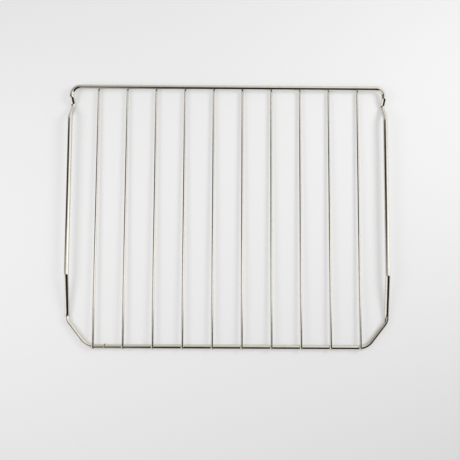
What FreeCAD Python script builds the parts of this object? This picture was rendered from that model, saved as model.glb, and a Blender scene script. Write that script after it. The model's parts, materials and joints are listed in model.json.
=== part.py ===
"""Oven shelf rack, in millimetres.

One thick wire is bent into a closed frame and butt welded in its front bar. Thin straight wires are
welded across it: they lie on top of the front bar and pass under the back bar. The front bar and a notch
in each side bar stand on the floor. Between them the side bars rise on a ramp, to slide along an oven's
runners, and the notches drop behind the runners' ends and stop the shelf from being pulled right out.

+X is to the right, +Y to the back and +Z up. The origin is on the floor under the middle of the rack.
"""
import FreeCAD, Part
import math
import os

import Sketcher

WIRE_COUNT = 10

SIZES = [
    ("frame_wire_dia", 6.0, "thick wire of the frame"),
    ("shelf_wire_dia", 3.0, "thin wires that carry the food"),
    ("side_bar_centres", 400.7, "from the left side bar to the right one"),
    ("end_bar_centres", 329.0, "from the front bar to the back bar"),
    ("wire_pitch", 37.0, "from one thin wire to the next"),
    ("weld_set_down", 0.45, "how far a weld sinks a thin wire into a bar"),
    ("wire_overhang", 2.9, "thin wire that goes on past the middle of a bar"),
    ("side_rise", 8.4, "side bars above the level of the front bar"),
    ("back_rise", 5.0, "back bar above the level of the front bar"),
    ("front_corner_width", 25.5, "front corner cut off, along the front bar"),
    ("front_corner_depth", 32.5, "front corner cut off, along the side bar"),
    ("front_bend_radius", 20.0, "bends at the ends of the front bar, to the middle of the wire"),
    ("side_bend_radius", 14.0, "bends at the front ends of the side bars, to the middle of the wire"),
    ("back_bend_radius", 10.5, "bends at the back corners, to the middle of the wire"),
    ("ramp_angle", 9.7, "slope of the ramp up to the side bar, in degrees"),
    ("ramp_bend_radius", 20.0, "bends at both ends of the ramp"),
    ("notch_front_angle", 33.0, "slope down into the notch, in degrees"),
    ("notch_back_angle", 34.0, "slope up out of the notch, in degrees"),
    ("notch_flat", 1.0, "straight wire at the bottom of the notch"),
    ("notch_lean", 8.0, "notch leans in towards the middle of the rack, in degrees"),
    ("notch_bend_radius", 7.0, "bends of the notch"),
    ("bend_lead", 0.4, "straight wire on each side of a change of bending plane"),
    ("butt_weld_from_middle", 152.0, "butt weld to the left of the middle of the front bar"),
    ("butt_weld_width", 3.0, "length of wire that the butt weld upsets"),
    ("butt_weld_swell", 0.15, "radius that the upset adds to the wire"),
    ("butt_weld_shift", 0.3, "upset squeezed this far up and this far back"),
    ("butt_weld_root", 0.6, "depth of the upset's edges inside the wire"),
]

VALUE = {alias: value for alias, value, meaning in SIZES}

# Distances that follow from the sizes, as expressions on the sheet.
FRAME_RADIUS = "Sizes.frame_wire_dia / 2"
SHELF_RADIUS = "Sizes.shelf_wire_dia / 2"
HALF_WIDTH = "Sizes.side_bar_centres / 2"
HALF_DEPTH = "Sizes.end_bar_centres / 2"
SIDE_BEND_REACH = ("Sizes.side_bend_radius"
                   " * tan(atan(Sizes.front_corner_width / Sizes.front_corner_depth) / 2)")
SIDE_START = f"(Sizes.front_corner_depth + {SIDE_BEND_REACH} + Sizes.bend_lead)"
SIDE_END = "(Sizes.back_bend_radius + Sizes.bend_lead)"
BACK_HEIGHT = f"({FRAME_RADIUS} + Sizes.back_rise)"

# The notch lies in a plane that leans about the side bar's axis, so its slopes are longer than they are high.
NOTCH_DROP = "(Sizes.side_rise / cos(Sizes.notch_lean * 1 deg))"
NOTCH_CLIMB = "(Sizes.back_rise / cos(Sizes.notch_lean * 1 deg))"
NOTCH_FRONT_REACH = "Sizes.notch_bend_radius * tan(Sizes.notch_front_angle * 1 deg / 2)"
NOTCH_BACK_REACH = "Sizes.notch_bend_radius * tan(Sizes.notch_back_angle * 1 deg / 2)"
NOTCH_LENGTH = (f"(2 * Sizes.bend_lead + 2 * {NOTCH_FRONT_REACH} + 2 * {NOTCH_BACK_REACH} + Sizes.notch_flat"
                f" + {NOTCH_DROP} / tan(Sizes.notch_front_angle * 1 deg)"
                f" + {NOTCH_CLIMB} / tan(Sizes.notch_back_angle * 1 deg))")
NOTCH_START = f"({NOTCH_LENGTH} + {SIDE_END})"
RUNNER_HEIGHT = f"({FRAME_RADIUS} + Sizes.side_rise)"
BACK_HALF_WIDTH = f"({HALF_WIDTH} - (Sizes.side_rise - Sizes.back_rise) * tan(Sizes.notch_lean * 1 deg))"

# A thin wire's axis passes one seat height above the front bar's axis and one below the back bar's.
SEAT = f"({FRAME_RADIUS} + {SHELF_RADIUS} - Sizes.weld_set_down)"
BAR_TO_BAR = "sqrt(Sizes.end_bar_centres ^ 2 + Sizes.back_rise ^ 2)"
WIRE_TILT = f"atan(Sizes.back_rise / Sizes.end_bar_centres) - asin(2 * {SEAT} / {BAR_TO_BAR})"
SEAT_SPAN = f"sqrt(Sizes.end_bar_centres ^ 2 + Sizes.back_rise ^ 2 - 4 * {SEAT} ^ 2)"
WIRE_LENGTH = f"({SEAT_SPAN} + 2 * Sizes.wire_overhang)"


def make_sheet(doc):
    """Puts each size in its own named cell."""
    sheet = doc.addObject("Spreadsheet::Sheet", "Sizes")
    for row, (alias, value, meaning) in enumerate(SIZES, start=1):
        sheet.set(f"A{row}", meaning)
        sheet.set(f"B{row}", str(value))
        sheet.setAlias(f"B{row}", alias)
    doc.recompute()
    return sheet


def origin_plane(body, role):
    """Finds one of a body's own three planes."""
    return next(plane for plane in body.Origin.OriginFeatures if plane.Role == role)


def new_sketch(body, name, role, offset):
    """Makes a sketch on one of a body's planes, moved by three expressions in the plane's own directions."""
    sketch = body.newObject("Sketcher::SketchObject", name)
    sketch.AttachmentSupport = (origin_plane(body, role), [""])
    sketch.MapMode = "FlatFace"
    for direction, expression in zip("xyz", offset):
        sketch.setExpression(f"AttachmentOffset.Base.{direction}", expression)
    return sketch


def tie(sketch, constraint, expression):
    """Adds a constraint whose value is an expression on the sheet."""
    number = sketch.addConstraint(constraint)
    sketch.setExpression(f"Constraints[{number}]", expression)


def at_origin(sketch, element, point):
    """Holds a point of an element at the sketch's origin."""
    sketch.addConstraint(Sketcher.Constraint("Coincident", element, point, -1, 1))


def bent_wire(sketch, corners, radii, radius_names):
    """Draws straight runs through the corners, with a tangent arc of its own radius at each inner corner.

    Run n is element 2 n of the sketch, and the bend after it is element 2 n + 1.
    """
    points = [FreeCAD.Vector(x, y, 0) for x, y in corners]
    start = points[0]
    bend_starts = []
    for before, corner, after, radius in zip(points, points[1:], points[2:], radii):
        ahead = (corner - before).normalize()
        away = (after - corner).normalize()
        turn = math.atan2(ahead.x * away.y - ahead.y * away.x, ahead.dot(away))
        reach = radius * math.tan(abs(turn) / 2)
        left = FreeCAD.Vector(-ahead.y, ahead.x, 0)
        centre = corner - ahead * reach + left * math.copysign(radius, turn)
        ends = [corner - ahead * reach, corner + away * reach]
        counter_clockwise = ends if turn > 0 else ends[::-1]
        angles = [math.atan2(end.y - centre.y, end.x - centre.x) for end in counter_clockwise]
        circle = Part.Circle(centre, FreeCAD.Vector(0, 0, 1), radius)
        sketch.addGeometry(Part.LineSegment(start, ends[0]))
        sketch.addGeometry(Part.ArcOfCircle(circle, angles[0], angles[1]))
        bend_starts.append(1 if turn > 0 else 2)
        start = ends[1]
    sketch.addGeometry(Part.LineSegment(start, points[-1]))
    for number, bend_start in enumerate(bend_starts):
        run = 2 * number
        bend = run + 1
        sketch.addConstraint(Sketcher.Constraint("Tangent", run, 2, bend, bend_start))
        sketch.addConstraint(Sketcher.Constraint("Tangent", bend, 3 - bend_start, run + 2, 1))
        tie(sketch, Sketcher.Constraint("Radius", bend, radii[number]), f"Sizes.{radius_names[number]}")


def front_path(body):
    """Right half of the front bar and the cut-off corner, in plan, from the middle of the bar."""
    sketch = new_sketch(body, "FrontPath", "XY_Plane", ("0", f"-{HALF_DEPTH}", FRAME_RADIUS))
    half_width = VALUE["side_bar_centres"] / 2
    depth = VALUE["front_corner_depth"]
    lead_end = depth + VALUE["side_bend_radius"]
    corners = [(0, 0), (half_width - VALUE["front_corner_width"], 0), (half_width, depth),
               (half_width, lead_end)]
    radius_names = ["front_bend_radius", "side_bend_radius"]
    bent_wire(sketch, corners, [VALUE[name] for name in radius_names], radius_names)
    front_bar, corner_run, side_lead = 0, 2, 4
    sharp = [sketch.addGeometry(Part.Point(FreeCAD.Vector(x, y, 0)), True) for x, y in corners[1:3]]
    at_origin(sketch, front_bar, 1)
    sketch.addConstraint(Sketcher.Constraint("Horizontal", front_bar))
    sketch.addConstraint(Sketcher.Constraint("Vertical", side_lead))
    for point, runs in zip(sharp, ((front_bar, corner_run), (corner_run, side_lead))):
        for run in runs:
            sketch.addConstraint(Sketcher.Constraint("PointOnObject", point, 1, run))
    tie(sketch, Sketcher.Constraint("DistanceX", -1, 1, sharp[1], 1, half_width), HALF_WIDTH)
    tie(sketch, Sketcher.Constraint("DistanceY", -1, 1, sharp[1], 1, depth), "Sizes.front_corner_depth")
    tie(sketch, Sketcher.Constraint("DistanceX", sharp[0], 1, sharp[1], 1, VALUE["front_corner_width"]),
        "Sizes.front_corner_width")
    tie(sketch, Sketcher.Constraint("Distance", side_lead, VALUE["bend_lead"]), "Sizes.bend_lead")
    return sketch


def side_path(body):
    """Right side bar seen from the side: lead, ramp and runner, up to the stop notch."""
    offset = (f"{SIDE_START} - {HALF_DEPTH}", FRAME_RADIUS, HALF_WIDTH)
    sketch = new_sketch(body, "SidePath", "YZ_Plane", offset)
    rise = VALUE["side_rise"]
    ramp_radius = VALUE["ramp_bend_radius"]
    ramp_run = rise / math.tan(math.radians(VALUE["ramp_angle"]))
    length = VALUE["end_bar_centres"] - VALUE["front_corner_depth"] - 4 * VALUE["back_bend_radius"]
    corners = [(0, 0), (ramp_radius, 0), (ramp_radius + ramp_run, rise), (length, rise)]
    bent_wire(sketch, corners, [ramp_radius] * 2, ["ramp_bend_radius"] * 2)
    lead, ramp, runner = 0, 2, 4
    at_origin(sketch, lead, 1)
    for run in (lead, runner):
        sketch.addConstraint(Sketcher.Constraint("Horizontal", run))
    tie(sketch, Sketcher.Constraint("Distance", lead, VALUE["bend_lead"]), "Sizes.bend_lead")
    tie(sketch, Sketcher.Constraint("DistanceY", -1, 1, runner, 2, rise), "Sizes.side_rise")
    tie(sketch, Sketcher.Constraint("DistanceX", -1, 1, runner, 2, length),
        f"Sizes.end_bar_centres - {SIDE_START} - {NOTCH_START}")
    tie(sketch, Sketcher.Constraint("Angle", ramp, math.radians(VALUE["ramp_angle"])),
        "Sizes.ramp_angle * 1 deg")
    return sketch


def notch_path(body):
    """Right stop notch in its leaning plane: down from the runner, along the floor, up to the back bar."""
    offset = (f"{HALF_DEPTH} - {NOTCH_START}", RUNNER_HEIGHT, HALF_WIDTH)
    sketch = new_sketch(body, "NotchPath", "YZ_Plane", offset)
    along_bar = FreeCAD.Rotation(FreeCAD.Vector(1, 0, 0), VALUE["notch_lean"])
    sketch.AttachmentOffset = FreeCAD.Placement(sketch.AttachmentOffset.Base, along_bar)
    sketch.setExpression("AttachmentOffset.Rotation.Angle", "Sizes.notch_lean * 1 deg")
    lean = math.cos(math.radians(VALUE["notch_lean"]))
    drop = VALUE["side_rise"] / lean
    climb = VALUE["back_rise"] / lean
    radius = VALUE["notch_bend_radius"]
    slope_end = radius + drop / math.tan(math.radians(VALUE["notch_front_angle"]))
    climb_start = slope_end + radius
    climb_end = climb_start + climb / math.tan(math.radians(VALUE["notch_back_angle"]))
    corners = [(0, 0), (radius, 0), (slope_end, -drop), (climb_start, -drop), (climb_end, climb - drop),
               (climb_end + radius, climb - drop)]
    bent_wire(sketch, corners, [radius] * 4, ["notch_bend_radius"] * 4)
    front_lead, slope, floor_run, climb_run, back_lead = range(0, 10, 2)
    at_origin(sketch, front_lead, 1)
    for run in (front_lead, floor_run, back_lead):
        sketch.addConstraint(Sketcher.Constraint("Horizontal", run))
    for run, name in ((front_lead, "bend_lead"), (floor_run, "notch_flat"), (back_lead, "bend_lead")):
        tie(sketch, Sketcher.Constraint("Distance", run, VALUE[name]), f"Sizes.{name}")
    tie(sketch, Sketcher.Constraint("DistanceY", floor_run, 1, -1, 1, drop), NOTCH_DROP)
    tie(sketch, Sketcher.Constraint("DistanceY", floor_run, 2, back_lead, 2, climb), NOTCH_CLIMB)
    for run, name, sign in ((slope, "notch_front_angle", -1), (climb_run, "notch_back_angle", 1)):
        tie(sketch, Sketcher.Constraint("Angle", run, sign * math.radians(VALUE[name])),
            f"{sign} * Sizes.{name} * 1 deg")
    return sketch


def back_path(body):
    """Right back corner and right half of the back bar, in plan, with the origin in the middle of the bar."""
    sketch = new_sketch(body, "BackPath", "XY_Plane", ("0", HALF_DEPTH, BACK_HEIGHT))
    half_width = VALUE["side_bar_centres"] / 2
    lead_start = -VALUE["back_bend_radius"] - VALUE["bend_lead"]
    bent_wire(sketch, [(half_width, lead_start), (half_width, 0), (0, 0)],
              [VALUE["back_bend_radius"]], ["back_bend_radius"])
    side_lead, back_bar = 0, 2
    at_origin(sketch, back_bar, 2)
    sketch.addConstraint(Sketcher.Constraint("Vertical", side_lead))
    sketch.addConstraint(Sketcher.Constraint("Horizontal", back_bar))
    tie(sketch, Sketcher.Constraint("DistanceX", -1, 1, side_lead, 1, half_width), BACK_HALF_WIDTH)
    tie(sketch, Sketcher.Constraint("Distance", side_lead, VALUE["bend_lead"]), "Sizes.bend_lead")
    return sketch


def round_section(body, name, role, offset, size):
    """Round section of a wire, across the plane where the wire starts."""
    sketch = new_sketch(body, name, role, offset)
    circle = Part.Circle(FreeCAD.Vector(0, 0, 0), FreeCAD.Vector(0, 0, 1), VALUE[size] / 2)
    section = sketch.addGeometry(circle)
    at_origin(sketch, section, 3)
    tie(sketch, Sketcher.Constraint("Diameter", section, VALUE[size]), f"Sizes.{size}")
    return sketch


def butt_weld(body):
    """Upset bead where the two ends of the frame wire meet, thicker above and behind, dressed flush below."""
    offset = ("-Sizes.butt_weld_from_middle", f"Sizes.butt_weld_shift - {HALF_DEPTH}",
              f"{FRAME_RADIUS} + Sizes.butt_weld_shift")
    sketch = new_sketch(body, "ButtWeldOutline", "XY_Plane", offset)
    half_length = VALUE["butt_weld_width"] / 2
    edge_height = VALUE["frame_wire_dia"] / 2 - VALUE["butt_weld_root"]
    crown_height = VALUE["frame_wire_dia"] / 2 + VALUE["butt_weld_swell"]
    corners = [FreeCAD.Vector(x, y, 0) for x, y in ((-half_length, edge_height), (-half_length, 0),
                                                    (half_length, 0), (half_length, edge_height))]
    crown = Part.Arc(corners[3], FreeCAD.Vector(0, crown_height, 0), corners[0])
    left_edge, axis, right_edge = [sketch.addGeometry(Part.LineSegment(start, end))
                                   for start, end in zip(corners, corners[1:])]
    arc = sketch.addGeometry(crown)
    top = sketch.addGeometry(Part.Point(FreeCAD.Vector(0, crown_height, 0)), True)
    for first, second in ((left_edge, axis), (axis, right_edge)):
        sketch.addConstraint(Sketcher.Constraint("Coincident", first, 2, second, 1))
    sketch.addConstraint(Sketcher.Constraint("Coincident", right_edge, 2, arc, 1))
    sketch.addConstraint(Sketcher.Constraint("Coincident", arc, 2, left_edge, 1))
    sketch.addConstraint(Sketcher.Constraint("Vertical", left_edge))
    sketch.addConstraint(Sketcher.Constraint("Vertical", right_edge))
    sketch.addConstraint(Sketcher.Constraint("Symmetric", axis, 1, axis, 2, -1, 1))
    sketch.addConstraint(Sketcher.Constraint("PointOnObject", axis, 1, -1))
    sketch.addConstraint(Sketcher.Constraint("Equal", left_edge, right_edge))
    sketch.addConstraint(Sketcher.Constraint("PointOnObject", top, 1, -2))
    sketch.addConstraint(Sketcher.Constraint("PointOnObject", top, 1, arc))
    tie(sketch, Sketcher.Constraint("Distance", axis, 2 * half_length), "Sizes.butt_weld_width")
    tie(sketch, Sketcher.Constraint("Distance", right_edge, edge_height),
        f"{FRAME_RADIUS} - Sizes.butt_weld_root")
    tie(sketch, Sketcher.Constraint("DistanceY", -1, 1, top, 1, crown_height),
        f"{FRAME_RADIUS} + Sizes.butt_weld_swell")
    bead = body.newObject("PartDesign::Revolution", "ButtWeld")
    bead.Profile = sketch
    bead.ReferenceAxis = (sketch, ["H_Axis"])
    bead.Angle = 360
    return bead


def make_frame(doc):
    """The frame: four bent stretches of wire end to end, mirrored to the left, and the butt weld."""
    body = doc.addObject("PartDesign::Body", "frame")
    body.Label = "frame"
    stretches = []
    for name, path, role, start in (
            ("Front", front_path, "YZ_Plane", (f"-{HALF_DEPTH}", FRAME_RADIUS, "0")),
            ("Side", side_path, "XZ_Plane", (HALF_WIDTH, FRAME_RADIUS, f"{HALF_DEPTH} - {SIDE_START}")),
            ("Notch", notch_path, "XZ_Plane", (HALF_WIDTH, RUNNER_HEIGHT, f"{NOTCH_START} - {HALF_DEPTH}")),
            ("Back", back_path, "XZ_Plane", (BACK_HALF_WIDTH, BACK_HEIGHT, f"{SIDE_END} - {HALF_DEPTH}"))):
        spine = path(body)
        section = round_section(body, f"{name}Section", role, start, "frame_wire_dia")
        doc.recompute()
        stretch = body.newObject("PartDesign::AdditivePipe", f"{name}Wire")
        stretch.Profile = section
        stretch.Spine = spine
        doc.recompute()
        stretches.append(stretch)
    mirrored = body.newObject("PartDesign::Mirrored", "LeftHalf")
    mirrored.Originals = stretches
    mirrored.MirrorPlane = (origin_plane(body, "YZ_Plane"), [""])
    body.Tip = mirrored
    doc.recompute()
    body.Tip = butt_weld(body)
    doc.recompute()
    return body


def make_shelf_wire(doc, number, frame):
    """One thin wire, made level about its own middle, tilted to lie over one bar and under the other, and
    pressed in where the bars are welded to it."""
    rod = doc.addObject("PartDesign::Body", f"rod_{number:02d}")
    stock = rod.newObject("PartDesign::Pad", "Stock")
    stock.Profile = round_section(rod, "Section", "XZ_Plane", ("0", "0", "0"), "shelf_wire_dia")
    stock.Midplane = True
    stock.setExpression("Length", WIRE_LENGTH)
    steps_from_middle = number - (WIRE_COUNT + 1) / 2
    rod.Placement = FreeCAD.Placement(FreeCAD.Vector(), FreeCAD.Rotation(FreeCAD.Vector(-1, 0, 0), 1))
    rod.setExpression("Placement.Base.x", f"{steps_from_middle} * Sizes.wire_pitch")
    rod.setExpression("Placement.Base.z", f"{FRAME_RADIUS} + Sizes.back_rise / 2")
    rod.setExpression("Placement.Rotation.Angle", f"-({WIRE_TILT})")
    wire = doc.addObject("Part::Cut", f"shelf_wire_{number:02d}")
    wire.Base = rod
    wire.Tool = frame
    doc.recompute()
    return wire


def check(doc, pieces):
    """Stops before anything is written if a step failed or a piece isn't one sound solid."""
    failed = [item.Name for item in doc.Objects if "Invalid" in item.State or "Error" in item.State]
    if failed:
        raise RuntimeError(f"failed: {failed}")
    for piece in pieces:
        shape = piece.Shape
        if shape.isNull() or not shape.isValid() or len(shape.Solids) != 1:
            raise RuntimeError(f"not one valid solid: {piece.Label}")


def main():
    doc = FreeCAD.newDocument("OvenShelfRack")
    make_sheet(doc)
    frame = make_frame(doc)
    wires = [make_shelf_wire(doc, number, frame) for number in range(1, WIRE_COUNT + 1)]
    pieces = [frame, *wires]
    check(doc, pieces)
    os.makedirs("parts", exist_ok=True)
    for piece in pieces:
        piece.Shape.exportStep(f"parts/{piece.Label}.step")


main()
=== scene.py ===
"""Looks of an oven shelf rack: drawn and plated wire, its welds, a pale floor and soft studio light.

Lengths are in metres. +X is to the right, +Y to the back and +Z up, with the origin on the floor under the
middle of the rack, as in the solid model.
"""

import json
import math

import bpy
import numpy as np
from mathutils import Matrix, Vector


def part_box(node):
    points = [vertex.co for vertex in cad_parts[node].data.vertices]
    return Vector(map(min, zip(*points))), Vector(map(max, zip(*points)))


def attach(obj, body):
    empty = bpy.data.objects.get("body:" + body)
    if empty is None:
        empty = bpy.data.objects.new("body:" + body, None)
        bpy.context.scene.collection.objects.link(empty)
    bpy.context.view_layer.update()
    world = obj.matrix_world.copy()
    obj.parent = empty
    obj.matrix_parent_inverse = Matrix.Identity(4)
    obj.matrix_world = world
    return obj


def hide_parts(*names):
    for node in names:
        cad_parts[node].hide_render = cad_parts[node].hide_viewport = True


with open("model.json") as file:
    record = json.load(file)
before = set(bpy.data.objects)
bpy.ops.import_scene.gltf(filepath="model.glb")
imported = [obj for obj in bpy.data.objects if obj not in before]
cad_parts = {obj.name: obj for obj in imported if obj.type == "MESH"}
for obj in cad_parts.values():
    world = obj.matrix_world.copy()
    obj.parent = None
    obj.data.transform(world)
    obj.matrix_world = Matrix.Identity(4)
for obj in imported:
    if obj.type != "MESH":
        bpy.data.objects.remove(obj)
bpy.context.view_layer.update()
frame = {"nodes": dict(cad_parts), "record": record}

MM = 0.001
UP = np.array([0.0, 0.0, 1.0])

# Sizes read from the solid model.
right_runner = next(mount for mount in frame["record"]["mounts"] if mount["name"] == "right_runner")
shelf_wire_names = sorted(name for name in frame["nodes"] if name.startswith("shelf_wire"))
shelf_wire_boxes = np.array([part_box(name) for name in shelf_wire_names])
FRAME_RADIUS = right_runner["dims"]["r_mm"] * MM
HALF_WIDTH = right_runner["pos_m"][0]
RUNNER_HEIGHT = right_runner["pos_m"][2]
HALF_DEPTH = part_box("frame")[1].y - FRAME_RADIUS
SHELF_RADIUS = (shelf_wire_boxes[0, 1, 0] - shelf_wire_boxes[0, 0, 0]) / 2

# Bends of the frame wire, to the middle of the wire.
BACK_RISE = 5.0 * MM
FRONT_CORNER_WIDTH = 25.5 * MM
FRONT_CORNER_DEPTH = 32.5 * MM
FRONT_BEND_RADIUS = 20.0 * MM
SIDE_BEND_RADIUS = 14.0 * MM
BACK_BEND_RADIUS = 10.5 * MM
RAMP_BEND_RADIUS = 20.0 * MM
NOTCH_BEND_RADIUS = 7.0 * MM
BEND_LEAD = 0.4 * MM
NOTCH_FLAT = 1.0 * MM
RAMP_ANGLE = math.radians(9.7)
NOTCH_FRONT_ANGLE = math.radians(33)
NOTCH_BACK_ANGLE = math.radians(34)
NOTCH_LEAN = math.radians(8)

# Upset bead of the butt weld in the front bar.
BEAD_PLACE = -152.0 * MM
BEAD_WIDTH = 3.0 * MM
BEAD_SWELL = 0.15 * MM
BEAD_SHIFT = 0.3 * MM
BEAD_ROOT = 0.6 * MM
BEAD_BLEND = 0.08 * MM
BEAD_FLUSH = (-0.25, 0.05)
BEAD_HEAT = 0.8
ON_FRONT_BAR = 1.0 * MM

# Resistance welds and sheared ends. The flash's two waves are turns per lump length along X, Y and Z.
FLASH_REACH = 0.9 * MM
FLASH_LUMP = 1.9 * MM
FLASH_WAVES = np.array([[1.0, 0.0, 1.3], [-1 / 3, 0.8, 0.0]])
FLASH_UNEVENNESS = 0.45
ELECTRODE_FLAT = 0.14 * MM
ELECTRODE_REACH = 2.4 * MM
ELECTRODE_SIDE = 0.5
HEAT_REACH = 1.1 * MM
FRONT_HEAT = 0.30
END_EDGE = 0.35 * MM
END_SLANT = 0.22 * MM

# Spacing of the rings of points along a wire, and the number of points in a ring.
SPACING_STEP = 0.05 * MM
WELD_SPACING = 0.28 * MM
BEND_SPACING = 0.55 * MM
STRAIGHT_SPACING = 3.0 * MM
SPACING_GROWTH = 0.18
WELD_FINE_REACH = 4.5 * MM
FRAME_SECTION_POINTS = 44
SHELF_SECTION_POINTS = 28
END_RINGS = 7

# Flat map of a wire: its rows, the margin as a share of a row's height, and the fans of the open ends.
UNROLLED_ROWS = 12
UNROLLED_MARGIN = 0.06
FAN_SHARE_OF_MARGIN = 0.25
FAN_PLACES = (0.25, 0.75)
BAKE_MAP = "OFBake"


def unit(vectors):
    """Vectors divided by their own lengths."""
    return vectors / np.linalg.norm(vectors, axis=-1, keepdims=True)


def dot(first, second):
    """Sum of products over the last axis."""
    return (first * second).sum(-1)


def frame_corners():
    """Sharp corners of the frame wire's axis, right side from front to back, then left side back again.

    Each is a point and the radius of its bend. Along a side bar they lie one bend's reach,
    radius * tan(angle / 2), from the straight runs beside them. The notch's plane leans in about the runner,
    so a fall of h takes it in by h * tan(lean), and its slopes are h / cos(lean) / tan(angle) deep.
    """
    front_turn = math.atan2(FRONT_CORNER_WIDTH, FRONT_CORNER_DEPTH)
    ramp_foot = (FRONT_CORNER_DEPTH + SIDE_BEND_RADIUS * math.tan(front_turn / 2) + 2 * BEND_LEAD
                 + RAMP_BEND_RADIUS * math.tan(RAMP_ANGLE / 2))
    rise = RUNNER_HEIGHT - FRAME_RADIUS
    ramp_top = ramp_foot + rise / math.tan(RAMP_ANGLE)
    back_reach = NOTCH_BEND_RADIUS * math.tan(NOTCH_BACK_ANGLE / 2)
    front_reach = NOTCH_BEND_RADIUS * math.tan(NOTCH_FRONT_ANGLE / 2)
    notch_end = BACK_BEND_RADIUS + 2 * BEND_LEAD + back_reach
    notch_floor_end = notch_end + BACK_RISE / math.cos(NOTCH_LEAN) / math.tan(NOTCH_BACK_ANGLE)
    notch_floor_start = notch_floor_end + back_reach + NOTCH_FLAT + front_reach
    notch_start = notch_floor_start + rise / math.cos(NOTCH_LEAN) / math.tan(NOTCH_FRONT_ANGLE)
    low, high, back_height = FRAME_RADIUS, RUNNER_HEIGHT, FRAME_RADIUS + BACK_RISE
    floor_width = HALF_WIDTH - rise * math.tan(NOTCH_LEAN)
    back_width = HALF_WIDTH - (rise - BACK_RISE) * math.tan(NOTCH_LEAN)
    right = [
        (HALF_WIDTH - FRONT_CORNER_WIDTH, -HALF_DEPTH, low, FRONT_BEND_RADIUS),
        (HALF_WIDTH, FRONT_CORNER_DEPTH - HALF_DEPTH, low, SIDE_BEND_RADIUS),
        (HALF_WIDTH, ramp_foot - HALF_DEPTH, low, RAMP_BEND_RADIUS),
        (HALF_WIDTH, ramp_top - HALF_DEPTH, high, RAMP_BEND_RADIUS),
        (HALF_WIDTH, HALF_DEPTH - notch_start, high, NOTCH_BEND_RADIUS),
        (floor_width, HALF_DEPTH - notch_floor_start, low, NOTCH_BEND_RADIUS),
        (floor_width, HALF_DEPTH - notch_floor_end, low, NOTCH_BEND_RADIUS),
        (back_width, HALF_DEPTH - notch_end, back_height, NOTCH_BEND_RADIUS),
        (back_width, HALF_DEPTH, back_height, BACK_BEND_RADIUS),
    ]
    right = np.array(right)
    both = np.concatenate([right, right[::-1] * [-1, 1, 1, 1]])
    return both[:, :3], both[:, 3]


def bent_axis(corners, radii):
    """Closed axis of straight runs with a tangent arc at each corner, as a list of stretches: bend, run, ...

    A bend that turns by angle a starts radius * tan(a / 2) before its corner and ends as far after it.
    """
    ahead = np.roll(corners, -1, 0) - corners
    spans = np.linalg.norm(ahead, axis=1)
    leaving = unit(ahead)
    arriving = np.roll(leaving, 1, 0)
    turns = np.arccos(np.clip(dot(arriving, leaving), -1, 1))
    reaches = radii * np.tan(turns / 2)
    inward = unit(leaving - arriving * np.cos(turns)[:, None])
    lengths = np.stack([radii * turns, spans - reaches - np.roll(reaches, -1)], 1).ravel()
    return {
        "start": np.concatenate([[0.0], np.cumsum(lengths)[:-1]]),
        "point": np.stack([corners - arriving * reaches[:, None], corners + leaving * reaches[:, None]],
                          1).reshape(-1, 3),
        "tangent": np.stack([arriving, leaving], 1).reshape(-1, 3),
        "normal": np.stack([inward, np.zeros_like(inward)], 1).reshape(-1, 3),
        "curvature": np.stack([1 / radii, np.zeros_like(radii)], 1).ravel(),
        "length": lengths.sum(),
    }


def along(axis, distance):
    """Points and tangents of a bent axis at distances along it, and the curvature there.

    On a stretch of curvature c, going on by d moves sin(c d) / c along the tangent and
    (1 - cos(c d)) / c along the normal, which become d and 0 on a straight run.
    """
    number = np.searchsorted(axis["start"], distance, side="right") - 1
    further = distance - axis["start"][number]
    curvature = axis["curvature"][number]
    angle = (curvature * further)[:, None]
    forward = further[:, None] * np.sinc(angle / math.pi)
    sideways = further[:, None] * np.sin(angle / 2) * np.sinc(angle / (2 * math.pi))
    tangent, normal = axis["tangent"][number], axis["normal"][number]
    points = axis["point"][number] + tangent * forward + normal * sideways
    return points, tangent * np.cos(angle) + normal * np.sin(angle), curvature


def spaced(length, wanted):
    """Distances from 0 up to a length whose spacing follows wanted(distance): the integral of 1 / spacing
    is taken along the wire, and a ring is set wherever it passes a whole number of equal parts."""
    fine = np.arange(0.0, length + SPACING_STEP, SPACING_STEP)
    count = np.concatenate([[0.0], np.cumsum(SPACING_STEP / wanted(fine))[:-1]])
    total = np.interp(length, fine, count)
    return np.interp(np.linspace(0, total, math.ceil(total) + 1), count, fine)


def spacing_near(gap, closest):
    """Ring spacing that starts at the closest and grows evenly with the gap, up to that of a straight run."""
    return np.clip(closest + SPACING_GROWTH * np.clip(gap, 0, None), closest, STRAIGHT_SPACING)


def round_rings(points, tangents, section_points):
    """Unit directions of each ring's points, out from the axis: the level side direction times cos(angle)
    plus the upward one times sin(angle)."""
    side = unit(np.cross(tangents, UP))
    upward = np.cross(side, tangents)
    angle = np.linspace(0, 2 * math.pi, section_points, endpoint=False)[None, :, None]
    return side[:, None] * np.cos(angle) + upward[:, None] * np.sin(angle)


def gap_to_line(points, origins, direction, radius):
    """Distance from each point to the surface of the nearest of several parallel round wires."""
    offset = points[..., None, :] - origins
    lengthwise = dot(offset, direction)[..., None] * direction
    return np.linalg.norm(offset - lengthwise, axis=-1).min(-1) - radius


def weld_flash(points, gap):
    """Metal pressed out of a weld: (reach - |gap|)^2 / (4 reach) within reach of the other wire, the rise of
    a smooth union of the two, made lumpy by the product of two sine waves over the place."""
    rise = np.clip(FLASH_REACH - np.abs(gap), 0, None) ** 2 / (4 * FLASH_REACH)
    phase = points @ FLASH_WAVES.T * (2 * math.pi / FLASH_LUMP)
    return rise * (1 + FLASH_UNEVENNESS * np.sin(phase).prod(-1))


def weld_heat(gap):
    """Heating by a weld, 1 at the other wire's surface and falling as a bell curve with the gap."""
    return np.exp(-(np.clip(gap, 0, None) / HEAT_REACH) ** 2)


def heat_share(points):
    """Share of the heating left after the front welds were wiped bright: little at the front, all at the
    back."""
    return np.where(points[..., 1] < 0, FRONT_HEAT, 1.0)


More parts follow.
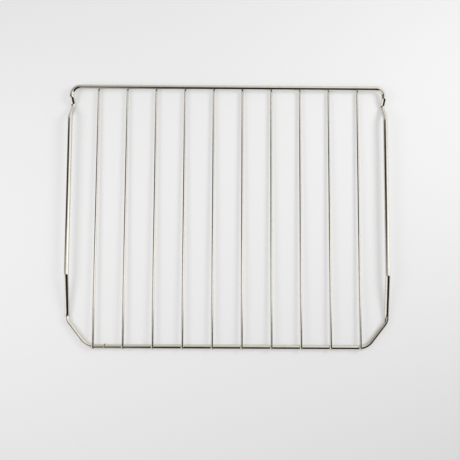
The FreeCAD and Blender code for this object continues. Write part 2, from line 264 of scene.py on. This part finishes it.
def shelf_wire_axis():
    """Middles of the thin wires' axes, their common direction towards the back, and their length.

    A tilted wire's box is length * sin(tilt) + diameter * cos(tilt) high and length * cos(tilt) +
    diameter * sin(tilt) deep, so the tilt follows from the box.
    """
    low, high = shelf_wire_boxes[:, 0], shelf_wire_boxes[:, 1]
    deep, tall = (high - low)[0, 1:]
    tilt = math.atan2(tall - 2 * SHELF_RADIUS, deep)
    length = (deep - 2 * SHELF_RADIUS * math.sin(tilt)) / math.cos(tilt)
    return (low + high) / 2, np.array([0.0, math.cos(tilt), -math.sin(tilt)]), length


def bead_radius(points, radial):
    """Distance from the wire's axis to the butt weld's bead along each ring direction.

    The bead is a lens turned about an axis that lies up and back from the wire's: at u from its middle its
    radius falls from the crown along a circle's arc. A ray in direction e from the wire's axis leaves a
    circle of radius b about c at e.c + sqrt(b^2 - |c|^2 + (e.c)^2). Towards the front it is dressed flush, by
    a smooth step over the direction's part towards the back.
    """
    crown = FRAME_RADIUS + BEAD_SWELL
    drop = BEAD_SWELL + BEAD_ROOT
    arc = (drop ** 2 + (BEAD_WIDTH / 2) ** 2) / (2 * drop)
    apart = points[:, 0] - BEAD_PLACE
    inside = (np.abs(apart) < BEAD_WIDTH / 2) & (np.abs(points[:, 1] + HALF_DEPTH) < ON_FRONT_BAR)
    lens = crown - arc + np.sqrt(np.clip(arc ** 2 - apart ** 2, 0, None))
    lens = np.where(inside, lens, 0.0)[:, None]
    shift = dot(radial, np.array([0.0, BEAD_SHIFT, BEAD_SHIFT]))
    under_root = np.clip(lens ** 2 - 2 * BEAD_SHIFT ** 2 + shift ** 2, 0, None)
    reach = np.where(lens > 0, shift + np.sqrt(under_root), 0.0)
    standing = np.clip((radial[..., 1] - BEAD_FLUSH[0]) / (BEAD_FLUSH[1] - BEAD_FLUSH[0]), 0, 1)
    return np.minimum(reach, FRAME_RADIUS + (reach - FRAME_RADIUS) * standing ** 2 * (3 - 2 * standing))


def smooth_larger(first, second, blend):
    """The larger of two values, rounded over where they differ by less than blend."""
    near = np.clip(blend - np.abs(first - second), 0, None)
    return np.maximum(first, second) + near ** 2 / (4 * blend)


def lay_wire(name, surface, straight, heat, closed, material, replaced):
    """Makes a wire from rings of points. A closed wire's last ring joins its first, and an open one ends in a
    fan about the middle of its last ring. Rings run so that the faces point outwards.

    straight holds each point's place on the wire before it was bent, and heat how much a weld heated it.
    """
    rings, across = surface.shape[:2]
    first = np.arange(rings if closed else rings - 1)
    corner = np.arange(across)
    low, high = first[:, None], ((first + 1) % rings)[:, None]
    here, there = corner[None], ((corner + 1) % across)[None]
    quads = [low * across + here, high * across + here, high * across + there, low * across + there]
    faces = np.stack(quads, -1).reshape(-1, 4).tolist()
    vertices = surface.reshape(-1, 3)
    straight = straight.reshape(-1, 3)
    heat = heat.ravel()
    if not closed:
        poles = surface[[0, -1]].mean(1)
        last_ring = (rings - 1) * across
        start = np.stack([np.full(across, rings * across), corner, there[0]], 1)
        end = np.stack([np.full(across, rings * across + 1), last_ring + there[0], last_ring + corner], 1)
        faces += start.tolist() + end.tolist()
        vertices = np.concatenate([vertices, poles])
        straight = np.concatenate([straight, straight[[0, last_ring]] * [0, 0, 1]])
        heat = np.concatenate([heat, heat[[0, last_ring]]])
    mesh = bpy.data.meshes.new(name)
    mesh.from_pydata(vertices.tolist(), [], faces)
    mesh.polygons.foreach_set("use_smooth", np.ones(len(faces), bool))
    place = mesh.attributes.new("straight_wire", "FLOAT_VECTOR", "POINT")
    place.data.foreach_set("vector", straight.astype(np.float32).ravel())
    warmth = mesh.attributes.new("weld_heat", "FLOAT", "POINT")
    warmth.data.foreach_set("value", heat.astype(np.float32))
    unroll(mesh, rings, across, first, closed)
    mesh.materials.append(material)
    mesh.validate()
    mesh.update()
    piece = bpy.data.objects.new(name, mesh)
    bpy.context.scene.collection.objects.link(piece)
    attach(piece, "root")
    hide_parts(replaced)


def unroll(mesh, rings, across, first, closed):
    """Flat map of a wire: its rings are shared out over rows, u goes along a row and v round the wire within
    the row's height. The fans at open ends take a small square in the first row's margin."""
    row = first * UNROLLED_ROWS // len(first)
    row_start = np.searchsorted(row, np.arange(UNROLLED_ROWS))
    row_length = np.diff(np.append(row_start, len(first)))
    along_row = (first - row_start[row]) / row_length[row]
    step = 1 / row_length[row]
    u = np.stack([along_row, along_row + step, along_row + step, along_row], -1)[:, None, :]
    turn = np.arange(across) / across
    v = np.stack([turn, turn, turn + 1 / across, turn + 1 / across], -1)[None]
    v = (row[:, None, None] + UNROLLED_MARGIN + (1 - 2 * UNROLLED_MARGIN) * v) / UNROLLED_ROWS
    flat = np.stack(np.broadcast_arrays(u, v), -1).reshape(-1, 2)
    if not closed:
        angle = np.arange(across) / across * 2 * math.pi
        rim = np.stack([np.cos(angle), np.sin(angle)], -1)
        fans = np.stack([np.zeros_like(rim), rim, np.roll(rim, -1, 0)], 1)
        fan_size = FAN_SHARE_OF_MARGIN * UNROLLED_MARGIN / UNROLLED_ROWS
        fans = fans.reshape(-1, 2) * fan_size
        flat = np.concatenate([flat, *(fans + [place, 2 * fan_size] for place in FAN_PLACES)])
    layer = mesh.uv_layers.new(name=BAKE_MAP)
    layer.uv.foreach_set("vector", flat.astype(np.float32).ravel())


def bend_frame_wire(material):
    """The frame: a round section carried along the bent axis, swollen by the butt weld and by the flash of
    the welds to the thin wires."""
    axis = bent_axis(*frame_corners())
    middles, direction, _ = shelf_wire_axis()

    def wanted(distance):
        """Ring spacing that is fine near the welds and the bead, and no coarser in a bend than it needs."""
        points, _, curvature = along(axis, np.minimum(distance, axis["length"]))
        to_weld = gap_to_line(points, middles, direction, SHELF_RADIUS + FRAME_RADIUS) - WELD_FINE_REACH
        to_bead = np.linalg.norm(points - [BEAD_PLACE, -HALF_DEPTH, FRAME_RADIUS], axis=1) - BEAD_WIDTH
        near = spacing_near(np.minimum(to_weld, to_bead), WELD_SPACING)
        return np.where(curvature > 0, np.minimum(near, BEND_SPACING), near)

    distance = spaced(axis["length"], wanted)[:-1]
    points, tangents, _ = along(axis, distance)
    radial = round_rings(points, tangents, FRAME_SECTION_POINTS)
    bead = bead_radius(points, radial)
    radius = np.where(bead > 0, smooth_larger(FRAME_RADIUS, bead, BEAD_BLEND), FRAME_RADIUS)
    surface = points[:, None] + radius[..., None] * radial
    gap = gap_to_line(surface, middles, direction, SHELF_RADIUS)
    surface = surface + weld_flash(surface, gap)[..., None] * radial
    surface = np.clip(surface, *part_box("frame"))
    heat = weld_heat(gap) * heat_share(surface)
    heat = np.where(bead > FRAME_RADIUS + BEAD_SWELL, np.maximum(heat, BEAD_HEAT), heat)
    lay_wire("plated_frame", surface, straight_places(distance, FRAME_RADIUS, FRAME_SECTION_POINTS), heat,
             True, material, "frame")


def straight_places(distance, radius, section_points):
    """Places on a wire before it was bent: radius * (cos, sin) of the ring angle across, distance along."""
    angle = np.linspace(0, 2 * math.pi, section_points, endpoint=False)[None]
    lengthwise = distance[:, None]
    return np.stack(np.broadcast_arrays(radius * np.cos(angle), radius * np.sin(angle), lengthwise), -1)


def cut_shelf_wire(name, middle, direction, length, material):
    """One thin wire: rings along a straight axis, flattened outside each weld by the electrode, swollen by
    the flash and pressed out of the bar. The flat holds radius * (outward part of the ring's direction) to
    the pressed radius, where that part is over the electrode's side, and its depth falls off from the weld as
    exp(-(distance / reach)^4). At a distance e from a sheared end, closer than the edge radius, a ring
    shrinks by edge - sqrt(edge^2 - (edge - e)^2), and the end leans by up to the slant."""
    bars = np.array([[0.0, -HALF_DEPTH, FRAME_RADIUS], [0.0, HALF_DEPTH, FRAME_RADIUS + BACK_RISE]])
    welds = dot(bars - [0.0, *middle[1:]], direction)

    def wanted(distance):
        """Ring spacing that is fine near both welds."""
        from_weld = np.abs((distance + END_EDGE - length / 2)[:, None] - welds).min(1)
        return spacing_near(from_weld - WELD_FINE_REACH - FRAME_RADIUS, WELD_SPACING)

    edge = END_EDGE * (1 - np.cos(np.linspace(0, math.pi / 2, END_RINGS)))
    inner = spaced(length - 2 * END_EDGE, wanted)[1:-1] + END_EDGE
    from_start = np.concatenate([edge, inner, length - edge[::-1]])
    from_end = np.minimum(from_start, length - from_start)
    place = from_start - length / 2
    points = middle + place[:, None] * direction
    tangents = np.broadcast_to(direction, points.shape)
    radial = round_rings(points, tangents, SHELF_SECTION_POINTS)

    shrunk = END_EDGE - np.sqrt(END_EDGE ** 2 - np.clip(END_EDGE - from_end, 0, None) ** 2)
    radius = np.broadcast_to((SHELF_RADIUS - shrunk)[:, None], radial.shape[:2])
    outward = np.where(place < 0, 1, -1)[:, None] * radial[..., 2]
    from_weld = np.abs(place[:, None] - welds).min(1)
    pressed = SHELF_RADIUS - ELECTRODE_FLAT * np.exp(-(from_weld / ELECTRODE_REACH) ** 4)
    flattened = np.minimum(radius, pressed[:, None] / np.maximum(outward, ELECTRODE_SIDE))
    radius = np.where(outward > ELECTRODE_SIDE, flattened, radius)
    surface = points[:, None] + radius[..., None] * radial

    bar_line = np.array([1.0, 0.0, 0.0])
    gap = gap_to_line(surface, bars, bar_line, FRAME_RADIUS)
    surface = surface + weld_flash(surface, gap)[..., None] * radial
    surface = press_out_of_bars(surface, bars, bar_line)
    slant = END_SLANT * np.exp(-from_end / END_EDGE)[:, None] * (1 + radial[..., 0]) / 2
    surface = surface - (np.sign(place)[:, None] * slant)[..., None] * direction
    heat = weld_heat(gap) * heat_share(surface)
    straight = straight_places(from_start + middle[0], SHELF_RADIUS, SHELF_SECTION_POINTS)
    lay_wire(f"plated_{name}", surface, straight, heat, False, material, name)


def press_out_of_bars(surface, bars, bar_line):
    """Moves each point that lies inside a bar straight out from the bar's axis to its surface."""
    offset = surface[..., None, :] - bars
    across = offset - dot(offset, bar_line)[..., None] * bar_line
    far = np.linalg.norm(across, axis=-1, keepdims=True)
    push = across / far * np.clip(FRAME_RADIUS - far, 0, None)
    return surface + push.sum(-2)


# Numbers of a colour Mix node's sockets, which share their names with those for other kinds of value.
MIX_SHARE, MIX_FIRST, MIX_SECOND, MIX_RESULT = 0, 6, 7, 2


def add_node(tree, kind, inputs=None, **settings):
    """Adds a node, sets its properties and the values of its named or numbered inputs."""
    node = tree.nodes.new(kind)
    for name, value in settings.items():
        setattr(node, name, value)
    for name, value in (inputs or {}).items():
        node.inputs[name].default_value = value
    return node


def combine(tree, operation, *values):
    """Adds an operation on plain numbers and other nodes' outputs, and gives back its result."""
    node = add_node(tree, "ShaderNodeMath", operation=operation)
    for place, value in enumerate(values):
        if isinstance(value, float):
            node.inputs[place].default_value = value
        else:
            tree.links.new(value, node.inputs[place])
    return node.outputs["Value"]


def step_between(tree, value, ends, levels=(0.0, 1.0)):
    """Adds a smooth step: the first level at the first end of a range, and the second level at the second."""
    step = add_node(tree, "ShaderNodeMapRange", {
        "From Min": ends[0], "From Max": ends[1], "To Min": levels[0], "To Max": levels[1],
    }, interpolation_type="SMOOTHSTEP")
    tree.links.new(value, step.inputs["Value"])
    return step.outputs["Result"]


def seen_by(tree, *kinds):
    """1 for rays of any of the named kinds, and 0 for the rest."""
    ray = add_node(tree, "ShaderNodeLightPath").outputs
    seen, *others = (ray[f"Is {kind} Ray"] for kind in kinds)
    for other in others:
        seen = combine(tree, "MAXIMUM", seen, other)
    return seen


def mix_shaders(tree, share, first, second):
    """Adds a mix of two shaders, the first where the share is 0 and the second where it is 1."""
    mix = add_node(tree, "ShaderNodeMixShader")
    for place, value in enumerate((share, first, second)):
        tree.links.new(value, mix.inputs[place])
    return mix.outputs["Shader"]


def grey(level):
    """A neutral colour of the given brightness."""
    return level, level, level, 1.0


def set_ramp(ramp, stops):
    """Sets a colour ramp's stops from (position, colour) pairs, colours as three numbers."""
    elements = ramp.elements
    for position, _ in stops[len(elements):]:
        elements.new(position)
    for element, (position, colour) in zip(elements, stops):
        element.position = position
        element.color = (*colour, 1.0)


def empty_material(name):
    """A new material whose output shows one surface shader."""
    material = bpy.data.materials.new(name)
    material.use_nodes = True
    tree = material.node_tree
    tree.nodes.clear()
    output = add_node(tree, "ShaderNodeOutputMaterial")
    shader = add_node(tree, "ShaderNodeBsdfPrincipled")
    tree.links.new(shader.outputs["BSDF"], output.inputs["Surface"])
    return material, tree, shader


# The plating's darker and brighter tone on each wire, and the stops of the clouds between them.
FRAME_TONES = ((0.70, 0.67, 0.61), (0.76, 0.73, 0.67))
SHELF_TONES = ((0.67, 0.64, 0.58), (0.74, 0.71, 0.65))
CLOUD_STOPS = (0.30, 0.62)
CLOUDS = {"Scale": 140.0, "Detail": 4.0, "Roughness": 0.62}
# Lines left by drawing: waves per metre across and along the wire, the roughness they give, and their depth.
LINES_PER_METRE = (3200, 3200, 9)
LINES = {"Scale": 1.0, "Detail": 3.0, "Roughness": 0.6}
LINES_GLOSS = {"From Min": 0.25, "From Max": 0.75, "To Min": 0.05, "To Max": 0.15}
LINES_DEPTH = {"Strength": 0.12, "Distance": 0.02 * MM}
# Straw and brown tints by heat, the share of it that stays where the clouds are darkest, and its dulling.
HEAT_TINTS = [(0.0, (1.0, 1.0, 1.0)), (0.30, (0.98, 0.90, 0.74)), (0.62, (0.80, 0.64, 0.46)),
              (0.90, (0.52, 0.41, 0.33))]
HEAT_AT_LEAST = 0.55
HEAT_DULLS = 0.22


def plated_wire(name, tones):
    """Bright plating on drawn wire: fine lines along the wire, a cloudy tone, and straw and brown tints where
    a weld heated it. The pattern lies on the wire as it was before bending."""
    material, tree, shader = empty_material(name)
    shader.inputs["Metallic"].default_value = 1.0
    link = tree.links.new
    straight = add_node(tree, "ShaderNodeAttribute", attribute_name="straight_wire").outputs["Vector"]
    heat = add_node(tree, "ShaderNodeAttribute", attribute_name="weld_heat").outputs["Fac"]

    drawn = add_node(tree, "ShaderNodeMapping", {"Scale": LINES_PER_METRE})
    link(straight, drawn.inputs["Vector"])
    lines = add_node(tree, "ShaderNodeTexNoise", LINES)
    link(drawn.outputs["Vector"], lines.inputs["Vector"])
    clouds = add_node(tree, "ShaderNodeTexNoise", CLOUDS)
    link(straight, clouds.inputs["Vector"])

    tone = add_node(tree, "ShaderNodeValToRGB")
    set_ramp(tone.color_ramp, list(zip(CLOUD_STOPS, tones)))
    link(clouds.outputs["Fac"], tone.inputs["Fac"])
    patchy = combine(tree, "ADD", clouds.outputs["Fac"], HEAT_AT_LEAST)
    warmed = combine(tree, "MINIMUM", combine(tree, "MULTIPLY", heat, patchy), 1.0)
    tint = add_node(tree, "ShaderNodeValToRGB")
    set_ramp(tint.color_ramp, HEAT_TINTS)
    link(warmed, tint.inputs["Fac"])
    colour = add_node(tree, "ShaderNodeMix", {MIX_SHARE: 1.0}, data_type="RGBA", blend_type="MULTIPLY")
    link(tone.outputs["Color"], colour.inputs[MIX_FIRST])
    link(tint.outputs["Color"], colour.inputs[MIX_SECOND])
    link(colour.outputs[MIX_RESULT], shader.inputs["Base Color"])

    gloss = add_node(tree, "ShaderNodeMapRange", LINES_GLOSS)
    link(lines.outputs["Fac"], gloss.inputs["Value"])
    dulled = combine(tree, "MULTIPLY_ADD", warmed, HEAT_DULLS, gloss.outputs["Result"])
    link(dulled, shader.inputs["Roughness"])

    grooves = add_node(tree, "ShaderNodeBump", LINES_DEPTH)
    link(lines.outputs["Fac"], grooves.inputs["Height"])
    link(grooves.outputs["Normal"], shader.inputs["Normal"])
    return material


# The floor's glow is what keeps it pale, and the rest of it takes the light and the rack's shadow. The glow
# changes gently over the floor, by so much per metre or square metre, and never by more than the limit. These
# changes are painted light and shade: with the lamps they make the floor brighter at the back right and
# darker at the front right, as the room's light fell on it.
FLOOR_HALF = 4.0
FLOOR_TONE = 0.82
FLOOR_GLOW_SHARE = 0.42
FLOOR_GLOW = 0.943
PAINTED_LIGHT_TO_RIGHT = -0.20
PAINTED_LIGHT_TO_BACK = 0.052
PAINTED_LIGHT_TO_CORNERS = 0.305
PAINTED_LIGHT_OUTWARDS = -0.583
PAINTED_LIGHT_LIMIT = 0.20


def pale_floor():
    """A large level sheet under the rack. Its glow changes with the place (x, y) by right * x + back * y +
    corners * x * y + outwards * (x^2 + y^2), within the limit. This is painted light and shade: it evens out
    some of the lamps' own unevenness and paints the room's, brighter at the back right and darker at the
    front right."""
    mesh = bpy.data.meshes.new("pale_floor")
    half = FLOOR_HALF
    corners = [(-half, -half, 0), (half, -half, 0), (half, half, 0), (-half, half, 0)]
    mesh.from_pydata(corners, [], [(0, 1, 2, 3)])
    floor = bpy.data.objects.new("pale_floor", mesh)
    bpy.context.scene.collection.objects.link(floor)
    material, tree, shader = empty_material("pale_floor")
    link = tree.links.new
    shader.inputs["Base Color"].default_value = grey(FLOOR_TONE)
    shader.inputs["Roughness"].default_value = 1.0
    shader.inputs["Specular IOR Level"].default_value = 0.0
    place = add_node(tree, "ShaderNodeSeparateXYZ")
    link(add_node(tree, "ShaderNodeTexCoord").outputs["Object"], place.inputs["Vector"])
    x, y = place.outputs["X"], place.outputs["Y"]
    # Painted light and shade: the glow grows brighter or darker from place to place over the floor.
    along_x = combine(tree, "MULTIPLY_ADD", y, PAINTED_LIGHT_TO_CORNERS, PAINTED_LIGHT_TO_RIGHT)
    along_x = combine(tree, "MULTIPLY_ADD", x, PAINTED_LIGHT_OUTWARDS, along_x)
    along_y = combine(tree, "MULTIPLY_ADD", y, PAINTED_LIGHT_OUTWARDS, PAINTED_LIGHT_TO_BACK)
    painted_light = combine(tree, "MULTIPLY_ADD", x, along_x, combine(tree, "MULTIPLY", y, along_y))
    painted_light = combine(tree, "MINIMUM", combine(tree, "MAXIMUM", painted_light, -PAINTED_LIGHT_LIMIT), PAINTED_LIGHT_LIMIT)
    glow = add_node(tree, "ShaderNodeEmission")
    link(combine(tree, "ADD", painted_light, FLOOR_GLOW), glow.inputs["Color"])
    share = combine(tree, "MULTIPLY", seen_by(tree, "Camera", "Glossy", "Transmission"), FLOOR_GLOW_SHARE)
    lit = mix_shaders(tree, share, shader.outputs["BSDF"], glow.outputs["Emission"])
    output = next(node for node in tree.nodes if node.bl_idname == "ShaderNodeOutputMaterial")
    link(lit, output.inputs["Surface"])
    mesh.materials.append(material)


# What the plating mirrors of the room: brightness, and the ranges of direction over which it comes in.
DARK_ROOM = 0.015
PALE_BACK_RANGE = (-0.115, -0.045)
PALE_BACK_LEFT_TO_RIGHT = (-0.6, 0.6)
PALE_BACK_BRIGHTNESS = (0.54, 1.06)
BACK_TINT = (1.0, 0.985, 0.96)
SIDE_LIGHT_RANGE = (0.14, 0.60)
SIDE_LIGHT_BRIGHTNESS = 0.45
SIDE_LIGHT_PLACE = 0.02
SIDE_LIGHT_REACH = 0.28
BEAM_SLOPE = 0.04
BEAM_PLACE = 0.185
BEAM_REACH = 0.11
BEAM_WIDENS = -0.05
BEAM_EDGE = (1.3, 0.5)
BEAM_END = (0.22, -0.10)
BEAM_DARKNESS = 0.93
DARK_SPOT_PLACE = (-0.41, -0.20)
DARK_SPOT_REACH = (0.21, 0.13)
DARK_SPOT_TURN = math.radians(38)
DARK_SPOT_EDGE = (1.3, 0.7)
UPWARD_LEFT_OUT = 1e6
WINDOW_LEFT_RANGE = (-0.08, -0.55)
WINDOW_FRONT_RANGE = (0.0, -0.15)
WINDOW_BRIGHTNESS = 1.2
HORIZON_RANGE = (0.03, 0.0)
HORIZON_BRIGHTNESS = 0.80
DOME_BRIGHTNESS = 0.50

# What the eye sees past the floor, from the floor's far edge upwards.
BACKDROP_RANGE = (0.0, 0.30)
BACKDROP_BRIGHTNESS = (0.55, 0.86)


def pale_back(tree, to_right, to_back):
    """Brightness of the room's back: brighter to the right, with a light at the right side, and darkened by a
    beam over its left half. The beam's edge is a smooth step over a range of
    |y - slope * x - place| / max(reach, reach + widens * x), and the light's one over |y - place|."""
    back = step_between(tree, to_right, PALE_BACK_LEFT_TO_RIGHT, PALE_BACK_BRIGHTNESS)
    off_light = combine(tree, "ABSOLUTE", combine(tree, "SUBTRACT", to_back, SIDE_LIGHT_PLACE))
    side_light = combine(tree, "MULTIPLY", step_between(tree, off_light, (SIDE_LIGHT_REACH, 0.0)),
                         step_between(tree, to_right, SIDE_LIGHT_RANGE, (0.0, SIDE_LIGHT_BRIGHTNESS)))
    beam_line = combine(tree, "MULTIPLY_ADD", to_right, BEAM_SLOPE, BEAM_PLACE)
    off_beam = combine(tree, "ABSOLUTE", combine(tree, "SUBTRACT", to_back, beam_line))
    beam_reach = combine(tree, "MULTIPLY_ADD", to_right, BEAM_WIDENS, BEAM_REACH)
    off_beam = combine(tree, "DIVIDE", off_beam, combine(tree, "MAXIMUM", beam_reach, BEAM_REACH))
    beam = combine(tree, "MULTIPLY", step_between(tree, off_beam, BEAM_EDGE, (0.0, BEAM_DARKNESS)),
                   step_between(tree, to_right, BEAM_END))
    back = combine(tree, "ADD", back, side_light)
    return combine(tree, "MULTIPLY", back, combine(tree, "SUBTRACT", 1.0, beam))


def beside_dark_spot(tree, direction):
    """0 inside an oval dark spot between the window and the back, and 1 beside it. The direction is moved to
    the spot's middle, turned along it and divided by its reaches, and by so much upwards that only the level
    parts count. The spot's edge is a smooth step over a range of the length of what comes out."""
    about_spot = add_node(tree, "ShaderNodeMapping", {
        "Location": (*DARK_SPOT_PLACE, 0.0), "Rotation": (0.0, 0.0, DARK_SPOT_TURN),
        "Scale": (*DARK_SPOT_REACH, UPWARD_LEFT_OUT),
    }, vector_type="TEXTURE")
    tree.links.new(direction, about_spot.inputs["Vector"])
    off_spot = add_node(tree, "ShaderNodeVectorMath", operation="LENGTH")
    tree.links.new(about_spot.outputs["Vector"], off_spot.inputs[0])
    return step_between(tree, off_spot.outputs["Value"], DARK_SPOT_EDGE, (1.0, 0.0))


def mirrored_room(tree, direction, to_right, to_back, upward):
    """What the plating mirrors: a room with a pale back, a window at the front left, a dark spot between
    them, a pale horizon and darkness at the front. Each comes in by a smooth step over a range of the
    direction's parts, and the brightest is seen."""
    at_back = step_between(tree, to_back, PALE_BACK_RANGE)
    back = combine(tree, "MULTIPLY", pale_back(tree, to_right, to_back), at_back)
    window = combine(tree, "MULTIPLY", step_between(tree, to_back, WINDOW_FRONT_RANGE),
                     step_between(tree, to_right, WINDOW_LEFT_RANGE, (0.0, WINDOW_BRIGHTNESS)))
    lights = combine(tree, "MAXIMUM", back, window)
    lights = combine(tree, "MULTIPLY", lights, beside_dark_spot(tree, direction))
    horizon = step_between(tree, upward, HORIZON_RANGE, (0.0, HORIZON_BRIGHTNESS))
    brightness = combine(tree, "MAXIMUM", lights, combine(tree, "MAXIMUM", horizon, DARK_ROOM))
    colours = {MIX_FIRST: grey(1.0), MIX_SECOND: (*BACK_TINT, 1.0)}
    tint = add_node(tree, "ShaderNodeMix", colours, data_type="RGBA")
    tree.links.new(at_back, tint.inputs[MIX_SHARE])
    room = add_node(tree, "ShaderNodeBackground")
    tree.links.new(tint.outputs[MIX_RESULT], room.inputs["Color"])
    tree.links.new(brightness, room.inputs["Strength"])
    return room.outputs["Background"]


def studio_room():
    """Surroundings: the plating mirrors the room, the eye sees a pale backdrop that grows brighter upwards,
    and everything else gets an even dome of light."""
    world = bpy.data.worlds.new("studio_room")
    bpy.context.scene.world = world
    world.use_nodes = True
    tree = world.node_tree
    tree.nodes.clear()
    link = tree.links.new
    direction = add_node(tree, "ShaderNodeTexCoord").outputs["Generated"]
    parts = add_node(tree, "ShaderNodeSeparateXYZ")
    link(direction, parts.inputs["Vector"])
    to_right, to_back, upward = (parts.outputs[name] for name in "XYZ")

    dome = add_node(tree, "ShaderNodeBackground", {"Color": grey(DOME_BRIGHTNESS)})
    room = mirrored_room(tree, direction, to_right, to_back, upward)
    backdrop = add_node(tree, "ShaderNodeBackground", {"Color": grey(1.0)})
    link(step_between(tree, upward, BACKDROP_RANGE, BACKDROP_BRIGHTNESS), backdrop.inputs["Strength"])
    around = mix_shaders(tree, seen_by(tree, "Glossy"), dome.outputs["Background"], room)
    looked_at = seen_by(tree, "Camera", "Transmission")
    around = mix_shaders(tree, looked_at, around, backdrop.outputs["Background"])
    output = add_node(tree, "ShaderNodeOutputWorld")
    link(around, output.inputs["Surface"])


# Lamps on both sides of the rack: place, side of the square, and power in watts.
RIGHT_PANEL = ((0.52, 0.20, 0.50), 0.30, 2.4)
LEFT_PANEL = ((-0.55, -0.04, 0.50), 0.30, 1.5)


def soft_panel(name, place, size, power):
    """A square lamp that faces the middle of the rack. The plating shows the room instead of the lamp."""
    lamp = bpy.data.lights.new(name, "AREA")
    lamp.size = size
    lamp.energy = power
    panel = bpy.data.objects.new(name, lamp)
    panel.location = place
    away = unit(np.array(place))
    panel.rotation_euler = (math.acos(away[2]), 0.0, math.atan2(away[1], away[0]) + math.pi / 2)
    panel.visible_glossy = False
    panel.visible_camera = False
    bpy.context.scene.collection.objects.link(panel)


# The camera looks almost straight down: these turns take the rack's axes to the camera's. The picture's width
# and the focal length are in pixels, and the sensor's width is in the camera's own millimetres.
CAMERA_TURN = [math.radians(angle) for angle in (-4.02, 0.30, -0.30)]
CAMERA_AIM = (3.25 * MM, -17.95 * MM)
CAMERA_DISTANCE = 680 * MM
PICTURE_PIXELS = 460
FOCAL_PIXELS = 533.5
SENSOR = 36.0


def camera_above():
    """A camera over the front part of the rack, tilted a little towards the back. It stands at its distance
    from the aim on the floor, along its own backward direction."""
    tip, roll, turn = CAMERA_TURN
    camera = bpy.data.cameras.new("camera_above")
    camera.sensor_width = SENSOR
    camera.lens = FOCAL_PIXELS / PICTURE_PIXELS * SENSOR
    viewer = bpy.data.objects.new("camera_above", camera)
    viewer.rotation_mode = "ZYX"
    viewer.rotation_euler = (-tip, -roll, -turn)
    back = np.array([-math.sin(roll), math.cos(roll) * math.sin(tip), math.cos(roll) * math.cos(tip)])
    viewer.location = np.array([*CAMERA_AIM, 0.0]) + CAMERA_DISTANCE * back
    bpy.context.scene.collection.objects.link(viewer)
    bpy.context.scene.camera = viewer


frame_plating = plated_wire("bright_frame_plating", FRAME_TONES)
shelf_plating = plated_wire("bright_shelf_plating", SHELF_TONES)
bend_frame_wire(frame_plating)
wire_middles, wire_direction, wire_length = shelf_wire_axis()
for wire_name, wire_middle in zip(shelf_wire_names, wire_middles):
    cut_shelf_wire(wire_name, wire_middle, wire_direction, wire_length, shelf_plating)

pale_floor()
studio_room()
soft_panel("right_panel", *RIGHT_PANEL)
soft_panel("left_panel", *LEFT_PANEL)
camera_above()
bpy.context.scene.view_settings.view_transform = "Standard"
